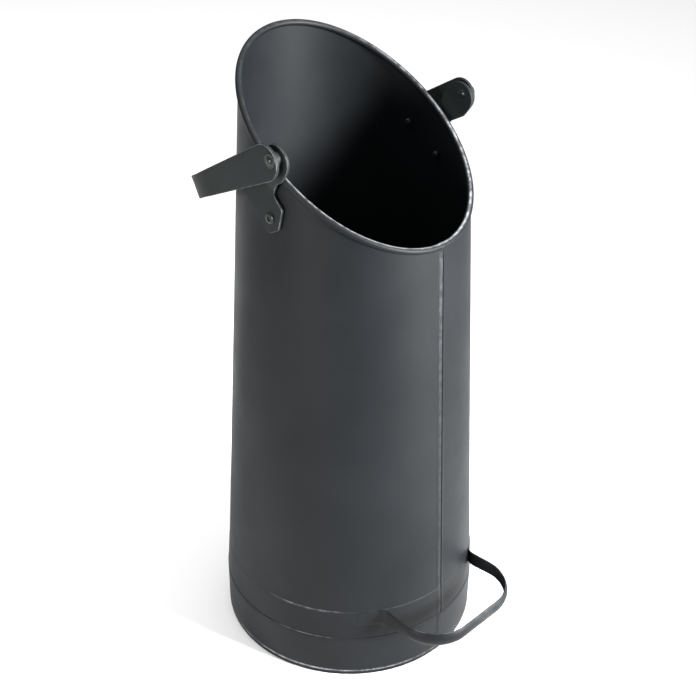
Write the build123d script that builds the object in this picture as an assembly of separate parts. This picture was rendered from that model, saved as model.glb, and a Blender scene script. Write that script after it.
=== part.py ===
from build123d import *
import os
from math import acos, asin, atan2, cos, degrees, hypot, radians, sin, sqrt, tan

os.makedirs("parts", exist_ok=True)

# Tall coal bucket with a slanted mouth. Millimetres, +Z up, standing on Z = 0 with the
# axis of its tapered body on Z. The high side of the mouth is towards +Y. The seam and
# the low tipping handle are towards -Y, and the bail turns about an axis along X.

# body
sheet = 1.0                     # steel sheet of the body, the pan and the foot band
foot_height = 46.0              # top edge of the foot band
swell_height = 31.0             # pressed swell that rises above the foot band
swell_bulge = 1.2               # how far the swell stands out past the straight skirt
skirt_radius = 120.4            # outside of the straight skirt inside the foot band
wall_low_inset = 1.5            # how far inside the skirt the tapered wall starts
mouth_centre_height = 494.7     # where the slanted mouth plane crosses the axis
wall_mouth_radius = 95.4        # outside of the tapered wall at that height
mouth_tilt = 36.0               # slope of the mouth plane in degrees, up towards +Y
rim_radius = 2.7                # outside radius of the curled rim
wire_radius = 1.7               # steel wire that the rim is curled round
wire_clearance = 0.2            # between the wire and the curl
seam_width = 5.5                # raised lock seam down the low side
seam_rise = 0.7                 # how far the seam stands out of the wall

# foot
nest_clearance = 0.15           # between nested rings of sheet
bead_radius = 2.0               # rolled bottom edge of the foot band
bead_flat = 0.3                 # how much of the bead is pressed flat on the floor
band_lap_width = 9.0            # overlap where the ends of the foot band meet
band_lap_rise = 0.6             # how far the overlap stands out of the band
pan_height = 15.0               # top face of the bucket's floor
pan_corner = 4.0                # inside corner radius between floor and flange
skirt_lift = 5.0                # lower edge of the skirt and of the pan flange

# pivot of the bail
pivot_y = -25.2
pivot_lift = 28.909             # height of the pivot above the mouth plane
pin_radius = 2.5                # shank of each pivot rivet
pin_clearance = 0.06            # between the shank and the holes round it
pin_head_radius = 5.8           # flange of the rivet outside the bail
pin_head_flange = 0.9
pin_dome_radius = 3.6           # raised centre of that head
pin_dome_height = 1.6
pin_tail_radius = 4.4           # closed end of the rivet inside the ear
pin_tail_height = 1.6
face_clearance = 0.05           # between faces that turn or seat on each other
spacer_radius = 5.6             # collar between the ear and the bail
spacer_gap = 4.2                # room for the collar between them

# ears
ear_sheet = 2.5
ear_seat_clearance = 0.05       # between the middle of the ear's base and the wall
ear_flattening = 80.0           # how much larger the bend of the base is than the wall
ear_standoff = 11.4             # outside face of the upright head, past the mouth's radius
ear_head_radius = 13.7          # rounded head
ear_head_drop = 4.7             # its centre below the pivot, along the ear
ear_shoulder_drop = 14.0        # lower corner of the head
ear_upper_bend_drop = 12.0      # bend between the head and the leaning neck
ear_neck_drop = 25.0            # narrowest place of the neck
ear_neck_half_width = 8.7
ear_lower_bend_drop = 36.0      # bend between the neck and the base
ear_flare_half_width = 9.6      # where the neck meets the base
ear_flare_drop = 37.0
ear_base_top_half_width = 24.0
ear_base_top_drop = 40.5
ear_base_half_width = 31.5
ear_base_side_drop = 56.5
ear_base_foot_half_width = 26.5
ear_base_drop = 66.5            # lower edge of the base
ear_corner = 2.2                # rounding of the outline's corners
ear_rivet_spread = 19.5         # each side of the ear's centre line
ear_rivet_drop = 55.5

# blind rivets of the ears
rivet_radius = 2.4
rivet_clearance = 0.1
rivet_head_radius = 4.8
rivet_head_height = 1.7
rivet_well_radius = 1.9         # open centre of the head
rivet_well_depth = 1.1
rivet_stem_radius = 1.1         # broken stem inside that centre
rivet_bulb_radius = 3.4         # set end inside the bucket
rivet_bulb_length = 4.5
rivet_dome_shares = (0.8, 0.7)  # where the head's curve passes, of its radius and height

# bail
bail_thickness = 3.0
bail_reach = 150.0              # pivot to the outside face of the bow
bail_corner = 65.0              # outside radius of the two bends
bail_end_radius = 14.6          # rounded end of each arm
bail_end_offset = 8.6           # centre of that rounding past the pivot
bail_bow_width = 20.0           # strip width at the bends and the bow
bail_taper_reach = 100.0        # where the taper of the arms ends
bail_rest_clearance = 0.4       # between the bow and the high side it lies on

# tipping handle
grip_sheet = 1.4
pad_height = 16.0               # flattened ends on the upper half of the swell
pad_turn = 8.5                  # angle about the axis that each end covers, degrees
pad_drop = 0.5                  # upper edge of the pads below the top of the swell
pad_clearance = 0.1             # between the pads and the swell
pad_corner = 4.0                # rounded corners of the pads
grip_height = 14.0
grip_crown = 2.2                # outward bulge of the grip's section
grip_root_half_width = 68.0     # where the legs leave the wall
grip_half_width = 60.3          # where the outside of a leg would meet the front
grip_standoff = 49.0            # from the outside of the pads to the outside of the grip
grip_corner = 39.5              # bends between the legs and the grip
grip_root_bend = 9.0            # bends where the legs leave the wall
grip_root_run_share = 0.6       # straight run before that bend's corner, of its radius
grip_rise = 2.0                 # the grip's middle above the middle of the pads
grip_blend_start_share = 0.06   # where along half the handle its section starts to change
grip_blend_end_share = 0.34     # and where it is done changing
grip_section_shares = (0, 0.09, 0.18, 0.27, 0.36, 0.47, 0.6, 0.76, 0.9, 1)  # of that stretch
weld_radius = 2.6               # spot welds pressed into the pads
weld_depth = 0.5
weld_spread = 4.0               # each weld above or below the middle of its pad

overrun = 20.0                  # how far cutting shapes pass what they cut

mouth_slope = tan(radians(mouth_tilt))
swell_top = foot_height + swell_height
wall_low_radius = skirt_radius - wall_low_inset
taper = (wall_low_radius - wall_mouth_radius) / (mouth_centre_height - swell_top)
mouth_plane = Plane(origin=(0, 0, mouth_centre_height), x_dir=(1, 0, 0),
                    z_dir=(0, -sin(radians(mouth_tilt)), cos(radians(mouth_tilt))))
pivot_z = mouth_centre_height + pivot_y * mouth_slope + pivot_lift
ear_plane = Plane(origin=(0, pivot_y, pivot_z), z_dir=(1, 0, 0),
                  x_dir=(0, cos(radians(mouth_tilt)), sin(radians(mouth_tilt))))
ear_head_x = wall_mouth_radius + ear_standoff
bail_inner_x = ear_head_x + spacer_gap
bail_outer_x = bail_inner_x + bail_thickness
band_radius = skirt_radius + nest_clearance + sheet
swell_crest = foot_height + swell_height / 2
crest_radius = skirt_radius + swell_bulge
pad_level = swell_top - pad_drop - pad_height / 2


def wall_radius(z):
    """Outside radius of the tapered wall at height z."""
    return wall_mouth_radius + taper * (mouth_centre_height - z)


def ear_bend_centre():
    """Axis that the ear's base is bent round, with the base's middle on the wall."""
    middle = ear_plane.from_local_coords((0, -(ear_lower_bend_drop + ear_base_drop) / 2, 0))
    turn = asin(middle.Y / wall_radius(middle.Z))
    return Vector(-cos(turn), -sin(turn)) * ear_flattening


def ear_seat(grow, low, high):
    """Cone that the ear's base is bent round, grown by a length."""
    foot, top = (wall_radius(z) + ear_flattening + ear_seat_clearance + grow for z in (low, high))
    centre = ear_bend_centre()
    return Pos(centre.X, centre.Y, (low + high) / 2) * Cone(foot, top, high - low)


def ear_seat_x(y, z):
    """Distance from the middle at which that cone passes a place in the YZ plane."""
    centre = ear_bend_centre()
    radius = wall_radius(z) + ear_flattening + ear_seat_clearance
    return centre.X + sqrt(radius ** 2 - (y - centre.Y) ** 2)


def cap_arc(radius, base, height):
    """Half of a round cap's outline, from its edge to its top on the axis."""
    ball = (radius ** 2 + height ** 2) / (2 * height)
    half_turn = atan2(radius, ball - height) / 2
    middle = (ball * sin(half_turn), base + height - ball * (1 - cos(half_turn)))
    return ThreePointArc((radius, base), middle, (0, base + height))


def ring(profile):
    """Ring turned about Z from an outline in the XZ plane."""
    return revolve(Plane.XZ * profile, Axis.Z)


def rim_path():
    """The ellipse in which the mouth plane cuts the middle of the wall."""
    middle = wall_mouth_radius - sheet / 2
    lean = taper * mouth_slope
    half_x = middle / sqrt(1 - lean ** 2)
    half_y = middle / (1 - lean ** 2) / cos(radians(mouth_tilt))
    shift = -middle * lean / (1 - lean ** 2) / cos(radians(mouth_tilt))
    return mouth_plane * Pos(0, shift) * Ellipse(half_x, half_y).edge()


def rim_tube(radius):
    """Round bar along the rim."""
    path = rim_path()
    return sweep(Plane(origin=path @ 0, z_dir=path % 0) * Circle(radius), path=path)


def body_shell():
    """Tapered body of sheet with its swell, slanted mouth, curled rim and seam."""
    highest = mouth_centre_height + (wall_mouth_radius + overrun) * mouth_slope

    def skin(inset):
        foot = (skirt_radius - inset, foot_height)
        crest = (crest_radius - inset, swell_crest)
        shoulder = (wall_low_radius - inset, swell_top)
        rise = Line((skirt_radius - inset, skirt_lift), foot)
        swell = TangentArc(crest, foot, tangent=(0, -1)), TangentArc(crest, shoulder, tangent=(0, 1))
        return [rise, *swell, Line(shoulder, (wall_radius(highest) - inset, highest))]

    def hoop(outer_inset, inner_inset):
        outer, inner = skin(outer_inset), skin(inner_inset)
        ends = Line(outer[0] @ 0, inner[0] @ 0), Line(outer[-1] @ 1, inner[-1] @ 1)
        return ring(make_face([*outer, *inner, *ends]))

    # the lock seam is a raised strip from the foot band up the low side
    seam_foot = foot_height + nest_clearance
    strip = Box(seam_width, wall_low_radius + overrun, highest - seam_foot,
                align=(Align.CENTER, Align.MAX, Align.MIN))
    shell = hoop(0, sheet)
    shell += hoop(-seam_rise, sheet / 2) & Pos(0, 0, seam_foot) * strip
    shell = split(shell, bisect_by=mouth_plane, keep=Keep.BOTTOM)
    shell += rim_tube(rim_radius)
    shell -= rim_tube(wire_radius + wire_clearance)
    for side in (1, -1):
        for hole in ear_rivet_bars(side, rivet_radius + rivet_clearance):
            shell -= hole
    return shell


def rim_wire():
    """The wire inside the curled rim."""
    return rim_tube(wire_radius)


def base_pan():
    """Floor of the bucket with its flange turned down inside the skirt."""
    edge = skirt_radius - sheet - nest_clearance
    floor = pan_height - sheet
    profile = Polyline((0, pan_height), (edge, pan_height), (edge, skirt_lift),
                       (edge - sheet, skirt_lift), (edge - sheet, floor), (0, floor), close=True)
    face = make_face(profile)
    top_corner = face.vertices().sort_by_distance((edge, pan_height))[0]
    face = fillet(top_corner, pan_corner)
    inner_corner = face.vertices().sort_by_distance((edge - sheet, floor))[0]
    return ring(fillet(inner_corner, pan_corner - sheet))


def foot_band():
    """Hoop round the skirt with a rolled bottom edge and a lapped joint."""
    wall = Pos(band_radius - sheet / 2, (foot_height + bead_radius) / 2)
    profile = wall * Rectangle(sheet, foot_height - bead_radius)
    bead_level = bead_radius - bead_flat
    profile += Pos(band_radius - bead_radius, bead_level) * Circle(bead_radius)
    floor_cut = Pos(band_radius, 0) * Rectangle(overrun, overrun, align=(Align.CENTER, Align.MAX))
    band = ring(profile - floor_cut)
    lap = Box(band_lap_width, band_lap_rise + sheet / 2, foot_height - bead_radius * 2,
              align=(Align.CENTER, Align.MIN, Align.MIN))
    return band + Pos(0, -band_radius - band_lap_rise, bead_radius * 2) * lap


def ear_outline():
    """Outline of the ear, flat, with the pivot at 0 and the head upwards."""
    side = [(ear_head_radius, -ear_head_drop), (ear_head_radius, -ear_shoulder_drop),
            (ear_neck_half_width, -ear_neck_drop), (ear_flare_half_width, -ear_flare_drop),
            (ear_base_top_half_width, -ear_base_top_drop),
            (ear_base_half_width, -ear_base_side_drop),
            (ear_base_foot_half_width, -ear_base_drop)]
    points = [(-x, y) for x, y in side] + side[::-1]
    plate = Polygon(*points, align=None)
    sharp = [v for v in plate.vertices() if v.Y < -ear_head_drop - ear_corner]
    plate = fillet(sharp, ear_corner)
    return plate + Pos(0, -ear_head_drop) * Circle(ear_head_radius)


def ear_rivet_place(spread):
    """Place on the inside of the ear's base, with +Z pointing straight out of it."""
    spot = ear_plane.from_local_coords((spread, -ear_rivet_drop, 0))
    seat_x = ear_seat_x(spot.Y, spot.Z)
    outward = (Vector(seat_x, spot.Y) - ear_bend_centre()).normalized()
    return Plane(origin=(seat_x, spot.Y, spot.Z), z_dir=outward + Vector(0, 0, taper))


def ear_rivet_bars(side, radius):
    """Round bars through the wall and the ear where the two blind rivets go."""
    bars = []
    for spread in (-ear_rivet_spread, ear_rivet_spread):
        bar = ear_rivet_place(spread) * Cylinder(radius, overrun)
        bars.append(bar if side > 0 else mirror(bar, about=Plane.YZ))
    return bars


def ear(side):
    """Plate ear: base bent to the wall, leaning neck, upright rounded head."""
    outline = extrude(ear_plane * ear_outline(), amount=ear_head_x + overrun)

    # base, bent to a slightly flatter curve than the wall
    low = pivot_z - ear_base_drop - ear_base_half_width
    high = pivot_z
    patch = ear_seat(ear_sheet, low, high)
    seat = ear_seat(0, low - overrun, high + overrun)
    below_neck = Pos(0, -ear_lower_bend_drop) * Rectangle(
        (ear_base_half_width + overrun) * 2, ear_base_drop, align=(Align.CENTER, Align.MAX))
    patch &= extrude(ear_plane * below_neck, amount=ear_head_x)

    # neck and head, a strip bent twice and drawn across the ear
    bend_point = ear_plane.from_local_coords((0, -ear_lower_bend_drop, 0))
    root_x = ear_seat_x(bend_point.Y, bend_point.Z) + ear_sheet
    lean = atan2(ear_head_x - root_x, ear_lower_bend_drop - ear_upper_bend_drop)
    start_drop = ear_lower_bend_drop + ear_sheet * 2
    start_x = root_x - tan(lean) * ear_sheet * 2
    inner_shift = ear_sheet * tan(lean / 2)
    strip = Polyline((-start_drop, start_x), (-ear_upper_bend_drop, ear_head_x),
                     (ear_head_radius, ear_head_x), (ear_head_radius, ear_head_x - ear_sheet),
                     (-ear_upper_bend_drop + inner_shift, ear_head_x - ear_sheet),
                     (-start_drop + ear_sheet * sin(lean), start_x - ear_sheet * cos(lean)),
                     (-start_drop, start_x))
    across = Plane(origin=ear_plane.origin, x_dir=ear_plane.y_dir, z_dir=ear_plane.x_dir)
    strip = extrude(across * make_face(strip), amount=ear_base_half_width, both=True)

    plate = (patch + strip) & outline
    plate -= seat
    plate -= ear_plane * Cylinder(pin_radius + pin_clearance, (ear_head_x + overrun) * 2)
    for bar in ear_rivet_bars(1, rivet_radius + rivet_clearance):
        plate -= bar
    return plate if side > 0 else mirror(plate, about=Plane.YZ)


def ear_rivets(side):
    """Two blind rivets that hold an ear to the wall."""
    pair = [ear_rivet(spread) for spread in (-ear_rivet_spread, ear_rivet_spread)]
    if side < 0:
        pair = [mirror(one, about=Plane.YZ) for one in pair]
    return Compound(children=pair)


def ear_rivet(spread):
    """Blind rivet: domed head on the ear, open centre, set end inside the wall."""
    place = ear_rivet_place(spread)
    spot, outward = place.origin, place.z_dir
    standoff = hypot(spot.X, spot.Y) - wall_radius(spot.Z)
    slant = abs(atan2(outward.Y, outward.X) - atan2(spot.Y, spot.X))
    seat = ear_sheet + face_clearance
    inside = standoff + sheet + rivet_radius * tan(slant) + face_clearance
    dome_top = seat + rivet_head_height
    end = -inside - rivet_bulb_length
    flat_end = Line((0, end), (rivet_bulb_radius / 2, end))
    bulb = ThreePointArc((rivet_bulb_radius / 2, end), (rivet_bulb_radius, end + rivet_bulb_length / 2),
                         (rivet_radius, -inside))
    shank = Polyline((rivet_radius, -inside), (rivet_radius, seat), (rivet_head_radius, seat))
    dome_across, dome_up = rivet_dome_shares
    dome = ThreePointArc((rivet_head_radius, seat),
                         (rivet_head_radius * dome_across, seat + rivet_head_height * dome_up),
                         (rivet_well_radius, dome_top))
    well_floor = dome_top - rivet_well_depth
    stem_top = dome_top - rivet_well_depth / 2
    well = Polyline((rivet_well_radius, dome_top), (rivet_well_radius, well_floor),
                    (rivet_stem_radius, well_floor), (rivet_stem_radius, stem_top),
                    (0, stem_top), (0, end))
    return place * ring(make_face([flat_end, bulb, shank, dome, well]))


def pivot_place(x):
    """Place on the pivot axis at a distance from the middle, with +Z pointing outwards."""
    return Plane(origin=(x, pivot_y, pivot_z), x_dir=(0, 1, 0), z_dir=(1, 0, 0))


def pivot_rivet(side):
    """Rivet on which an arm of the bail turns."""
    tail_seat = ear_head_x - ear_sheet - face_clearance
    head_seat = bail_outer_x + face_clearance
    flange_top = head_seat + pin_head_flange
    tail = mirror(cap_arc(pin_tail_radius, -tail_seat, pin_tail_height), about=Plane.XZ)
    shank = Polyline((pin_tail_radius, tail_seat), (pin_radius, tail_seat), (pin_radius, head_seat),
                     (pin_head_radius, head_seat), (pin_head_radius, flange_top),
                     (pin_dome_radius, flange_top))
    dome = cap_arc(pin_dome_radius, flange_top, pin_dome_height)
    axis_line = Line((0, flange_top + pin_dome_height), (0, tail_seat - pin_tail_height))
    rivet = pivot_place(0) * ring(make_face([tail, shank, dome, axis_line]))
    return rivet if side > 0 else mirror(rivet, about=Plane.YZ)


def pivot_spacer(side):
    """Collar on the pivot rivet that keeps the bail off the ear."""
    length = bail_inner_x - ear_head_x - face_clearance * 2
    collar = Circle(spacer_radius) - Circle(pin_radius + pin_clearance)
    solid = extrude(pivot_place(ear_head_x + face_clearance) * collar, amount=length)
    return solid if side > 0 else mirror(solid, about=Plane.YZ)


def bail_rest_slope():
    """Degrees below level at which the bow lies on the high side of the wall."""
    half_bow, reach = bail_bow_width / 2, bail_reach - bail_thickness
    level, drop = reach - taper * half_bow, half_bow + taper * reach
    stop = wall_radius(pivot_z) - pivot_y + bail_rest_clearance
    return degrees(acos(stop / hypot(level, drop)) - atan2(drop, level))


def bail():
    """Flat strip bail, squared at the bow, wider at its two pivot ends."""
    back = bail_end_radius * 2

    def hoop(inset):
        x, y = bail_outer_x - inset, bail_reach - inset
        path = FilletPolyline((-x, -back), (-x, y), (x, y), (x, -back), radius=bail_corner - inset)
        return make_face([*path.edges(), Line((x, -back), (-x, -back))])

    strip = extrude(hoop(0) - hoop(bail_thickness), amount=bail_end_radius, both=True)
    slim = bail_bow_width / 2
    side_view = Pos(bail_end_offset, 0) * Circle(bail_end_radius)
    side_view += make_face(Polyline(
        (bail_end_offset, bail_end_radius), (bail_taper_reach, slim), (bail_reach + overrun, slim),
        (bail_reach + overrun, -slim), (bail_taper_reach, -slim), (bail_end_offset, -bail_end_radius),
        (bail_end_offset, bail_end_radius)))
    side_plane = Plane(origin=(0, 0, 0), x_dir=(0, 1, 0), z_dir=(1, 0, 0))
    strip &= extrude(side_plane * side_view, amount=bail_outer_x + overrun, both=True)
    strip -= side_plane * Cylinder(pin_radius + pin_clearance, (bail_outer_x + overrun) * 2)
    return Pos(0, pivot_y, pivot_z) * Rot(-bail_rest_slope(), 0, 0) * strip


def pad_radius(z):
    """Outside radius of the pads at height z, where they follow the swell's upper half."""
    fall = crest_radius - wall_low_radius
    bend = (fall ** 2 + (swell_height / 2) ** 2) / (2 * fall)
    past_crest = max(z - swell_crest, 0)
    return crest_radius - bend + sqrt((bend + pad_clearance + grip_sheet) ** 2 - past_crest ** 2)


def pad_start():
    """Where the handle bends away from the wall, in degrees from -Y."""
    return degrees(asin(grip_root_half_width / pad_radius(pad_level)))


def grip_path():
    """Half of the handle's plan, along its outside face, from a pad to the middle."""
    radius, leave = pad_radius(pad_level), radians(pad_start())
    start = Vector(sin(leave), -cos(leave)) * radius
    root = start + Vector(-cos(leave), -sin(leave)) * grip_root_bend * grip_root_run_share
    reach = radius + grip_standoff
    return FilletPolyline(start, root, (grip_half_width, -reach), (0, -reach),
                          radius=[grip_root_bend, grip_corner])


def grip_profile(blend):
    """Section of the handle, from a pad on the swell at 0 to the crowned grip at 1."""
    half_height = (pad_height + (grip_height - pad_height) * blend) / 2
    ends = []
    for height in (-half_height, half_height):
        pad_offset = pad_radius(pad_level + height) - pad_radius(pad_level)
        ends.append((pad_offset * (1 - blend) - grip_crown * blend, height))
    outer = ThreePointArc(ends[0], (0, 0), ends[1])
    inner = Pos(-grip_sheet, 0) * outer
    return make_face([outer, Line(outer @ 1, inner @ 1), inner, Line(inner @ 0, outer @ 0)])


def grip_section(path, share):
    """That section set square to the handle at a share of its half length."""
    way = (share - grip_blend_start_share) / (grip_blend_end_share - grip_blend_start_share)
    way = min(1, max(0, way))
    blend = way ** 2 * (3 - 2 * way)
    along = path % share
    origin = path @ share + Vector(0, 0, pad_level + grip_rise * blend)
    return Plane(origin=origin, z_dir=along, x_dir=Vector(-along.Y, along.X)) * grip_profile(blend)


def tipping_handle():
    """Pressed strip handle, its two flattened ends spot welded on the swell."""
    path = grip_path()
    half = loft([grip_section(path, share * grip_blend_end_share) for share in grip_section_shares])
    formed = grip_section(path, grip_blend_end_share)
    grip_level = Pos(0, 0, pad_level + grip_rise)
    half += sweep(formed, path=grip_level * path.trim(grip_blend_end_share, 1))

    # flattened end, turned about the axis on the swell, with two spot welds
    place = Plane.XZ * Pos(pad_radius(pad_level), pad_level)
    pad = revolve(place * grip_profile(0), Axis.Z, revolution_arc=pad_turn)
    across_sheet = pad.edges().filter_by(GeomType.LINE).filter_by(Axis.Z, reverse=True)
    far_corners = across_sheet.sort_by(Axis.Y)[-2:]
    pad = fillet(far_corners, pad_corner)
    for level in (pad_level - weld_spread, pad_level + weld_spread):
        dent = Pos(pad_radius(level) - weld_depth, 0, level) * Rot(0, 90, 0) * Cylinder(
            weld_radius, overrun, align=(Align.CENTER, Align.CENTER, Align.MIN))
        pad -= Rot(0, 0, pad_turn / 2) * dent
    half += Rot(0, 0, pad_start() - 90) * pad
    return half + mirror(half, about=Plane.YZ)


pieces = {
    "body_shell": body_shell,
    "rim_wire": rim_wire,
    "base_pan": base_pan,
    "foot_band": foot_band,
    "ear_left": lambda: ear(-1),
    "ear_right": lambda: ear(1),
    "ear_rivets_left": lambda: ear_rivets(-1),
    "ear_rivets_right": lambda: ear_rivets(1),
    "pivot_rivet_left": lambda: pivot_rivet(-1),
    "pivot_rivet_right": lambda: pivot_rivet(1),
    "pivot_spacer_left": lambda: pivot_spacer(-1),
    "pivot_spacer_right": lambda: pivot_spacer(1),
    "bail": bail,
    "tipping_handle": tipping_handle,
}

for name, make in pieces.items():
    export_step(make(), f"parts/{name}.step")
    print(name)
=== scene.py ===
import bmesh
import bpy
import numpy as np
from mathutils import Matrix, Vector


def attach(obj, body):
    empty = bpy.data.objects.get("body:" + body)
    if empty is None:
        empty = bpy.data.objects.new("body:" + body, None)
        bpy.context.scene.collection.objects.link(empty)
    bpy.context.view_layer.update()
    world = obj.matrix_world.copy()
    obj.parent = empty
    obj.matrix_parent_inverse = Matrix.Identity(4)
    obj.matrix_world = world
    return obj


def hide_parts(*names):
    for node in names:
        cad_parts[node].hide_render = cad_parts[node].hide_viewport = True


# Coal bucket of powder-coated steel sheet. Lengths in the tables are millimetres.
# +Z is up, the spout is towards +Y, the seam and the tipping handle are towards -Y.

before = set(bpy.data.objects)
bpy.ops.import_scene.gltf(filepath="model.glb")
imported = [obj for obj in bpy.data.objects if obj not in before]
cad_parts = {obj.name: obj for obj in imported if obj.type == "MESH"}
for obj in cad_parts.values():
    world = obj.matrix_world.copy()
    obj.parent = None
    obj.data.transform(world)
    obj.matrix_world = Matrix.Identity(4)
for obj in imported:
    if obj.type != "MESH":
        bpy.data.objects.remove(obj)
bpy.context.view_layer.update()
mm = 0.001
mergeWithin = 1e-6          # metres


# mesh helpers

def gridFaces(rows, columns):
    # four corners of each cell between neighbouring rows of a grid whose columns close on themselves
    row, column = np.meshgrid(np.arange(rows - 1), np.arange(columns), indexing="ij")
    nextColumn = (column + 1) % columns
    corners = [row * columns + column, row * columns + nextColumn,
               (row + 1) * columns + nextColumn, (row + 1) * columns + column]
    return np.stack(corners, axis=-1).reshape(-1, 4)


def makePiece(name, points, faces, body, material, nodes=(), wearAndHighlight=None, sharpDegrees=32):
    # a closed mesh from points in millimetres, its doubles merged, smooth but for sharp edges
    mesh = bpy.data.meshes.new(name)
    mesh.from_pydata((np.asarray(points, float) * mm).tolist(), [], np.asarray(faces).tolist())
    # per-point value for bright bare steel: rubbed edges and painted highlights
    layer = mesh.attributes.new("wearAndHighlight", "FLOAT", "POINT")
    layer.data.foreach_set("value", np.zeros(len(points), np.float32) if wearAndHighlight is None
                           else np.asarray(wearAndHighlight, np.float32).ravel())
    work = bmesh.new()
    work.from_mesh(mesh)
    bmesh.ops.remove_doubles(work, verts=work.verts, dist=mergeWithin)
    bmesh.ops.dissolve_degenerate(work, edges=work.edges, dist=mergeWithin / 10)
    bmesh.ops.recalc_face_normals(work, faces=work.faces)
    work.to_mesh(mesh)
    work.free()
    mesh.shade_smooth()
    mesh.set_sharp_from_angle(angle=np.radians(sharpDegrees))
    piece = bpy.data.objects.new(name, mesh)
    bpy.context.scene.collection.objects.link(piece)
    mesh.materials.append(material)
    if nodes:
        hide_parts(*nodes)
    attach(piece, body)


def smoothStep(x, low, high):
    # 0 below low, 1 above high, an S curve between
    t = np.clip((x - low) / (high - low), 0, 1)
    return t * t * (3 - 2 * t)


def roundedPath(corners, radii, arcPoints):
    # straight runs through the corners, each inner corner replaced by an arc tangent to its runs
    corners = [np.array(c, float) for c in corners]
    points = [corners[0]]
    for before, corner, after, radius in zip(corners, corners[1:], corners[2:], radii):
        into = (corner - before) / np.linalg.norm(corner - before)
        out = (after - corner) / np.linalg.norm(after - corner)
        turn = np.arccos(np.clip(into @ out, -1, 1))
        cut = radius * np.tan(turn / 2)
        middle = (out - into) / np.linalg.norm(out - into)
        centre = corner + middle * radius / np.cos(turn / 2)
        start, end = corner - into * cut - centre, corner + out * cut - centre
        share = np.linspace(0, 1, arcPoints)[:, None]
        arc = np.sin((1 - share) * turn) * start + np.sin(share * turn) * end
        points.extend(centre + arc / np.sin(turn))
    points.append(corners[-1])
    return np.array(points)


def alongPath(points, distances):
    # points at the given distances along a dense path
    step = np.linalg.norm(np.diff(points, axis=0), axis=1)
    run = np.concatenate([[0], np.cumsum(step)])
    return np.stack([np.interp(distances, run, points[:, k]) for k in range(points.shape[1])], axis=-1)


def pathLength(points):
    # sum of the distances between neighbouring points
    return np.linalg.norm(np.diff(points, axis=0), axis=1).sum()


plate = {
    "rounds": 5,            # rows round an edge
    "probe": 0.05,          # half step that finds the surface's two directions
    "cornerWearAndHighlight": 0.4,      # how bright the outer corner of an edge is: rubbed steel and painted edge highlight
}


def bentPlate(surface, along, half, thickness, edge, across):
    # A sheet cut to an outline and bent: the outline is given by pairs (distance along, half width),
    # its edge is rounded by a quarter circle on each face, and surface(along, across) places it.
    # Thickness goes inwards from the surface along its normal, which is the cross product of its
    # two directions. Each row is a section: outer face, one edge, inner face, the other edge.
    rounds, probe = plate["rounds"], plate["probe"]
    dAlong, dHalf = np.gradient(along), np.gradient(half)
    size = np.hypot(dAlong, dHalf)
    normalAlong, normalAcross = -dHalf / size, dAlong / size
    normalAlong[0], normalAcross[0] = (-1, 0) if half[0] == 0 else (normalAlong[0], normalAcross[0])
    normalAlong[-1], normalAcross[-1] = (1, 0) if half[-1] == 0 else (normalAlong[-1], normalAcross[-1])
    share = np.linspace(1, -1, across)
    turn = np.linspace(np.pi / 2, -np.pi / 2, rounds + 2)[1:-1]
    side = np.concatenate([np.zeros(across), -np.ones(rounds), np.zeros(across), np.ones(rounds)])
    spread = np.concatenate([share, -np.ones(rounds), share[::-1], np.ones(rounds)])
    reach = np.concatenate([np.zeros(across), np.cos(turn), np.zeros(across), np.cos(turn[::-1])])
    edgeDeep = edge - edge * np.sin(turn) + (turn < 0) * (thickness - 2 * edge)
    deep = np.concatenate([np.zeros(across), edgeDeep, np.full(across, thickness), edgeDeep[::-1]])
    a = (along - edge * normalAlong)[:, None] + edge * normalAlong[:, None] * reach
    inner = (half - edge * normalAcross)[:, None]
    w = inner * spread + edge * normalAcross[:, None] * reach * side
    place = surface(a, w)
    du = surface(a + probe, w) - surface(a - probe, w)
    dv = surface(a, w + probe) - surface(a, w - probe)
    normal = np.cross(du, dv)
    normal /= np.linalg.norm(normal, axis=-1, keepdims=True)
    points = place - normal * deep[None, :, None]
    corner = np.where(turn > 0.1, plate["cornerWearAndHighlight"], 0.0)     # the half of the edge by the outer face: rubbed steel and painted edge highlight
    section = np.concatenate([np.zeros(across), corner, np.zeros(across), corner[::-1]])
    wearAndHighlight = np.tile(section, (len(along), 1))
    return points.reshape(-1, 3), gridFaces(len(along), len(side)), wearAndHighlight.ravel()


def turned(profile, origin, axis, columns):
    # an outline of (radius, height) pairs turned about a nearly level axis through the origin given
    profile = np.array(profile, float)
    axis = np.array(axis, float) / np.linalg.norm(axis)
    first = np.cross([0, 0, 1.0], axis)
    first /= np.linalg.norm(first)
    second = np.cross(axis, first)
    angle = np.linspace(0, 2 * np.pi, columns, endpoint=False)
    ring = np.cos(angle)[:, None] * first + np.sin(angle)[:, None] * second
    points = np.array(origin) + profile[:, 0, None, None] * ring + profile[:, 1, None, None] * axis
    return points.reshape(-1, 3), gridFaces(len(profile), columns)


def mirrored(points):
    # the same points on the other side of the middle
    return np.asarray(points) * np.array([-1.0, 1, 1])


# materials

grain = {
    "cloudScale": 9, "cloudFrom": 0.35, "cloudTo": 0.65,                     # mottling of the tone
    "speckScale": 900, "speckFrom": 0.66, "speckTo": 0.8, "speckle": 0.5,    # fine pale specks
    # patchy noise scaling the bright steel of rubbed edges and painted highlights, and the gloss it adds
    "brightScale": 160, "brightFrom": 0.4, "brightTo": 0.62, "brightLow": 0.15, "brightHigh": 0.75, "brightPolish": 0.55,
    "glossScale": 26, "glossFrom": 0.3, "glossTo": 0.7,                      # mottling of the gloss
    "peelScale": 620, "peel": 0.22, "peelDepth": 0.0002,                     # orange peel
    "waveScale": 18, "waveDepth": 0.0012,                                    # slow waves of the sheet
}


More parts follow.
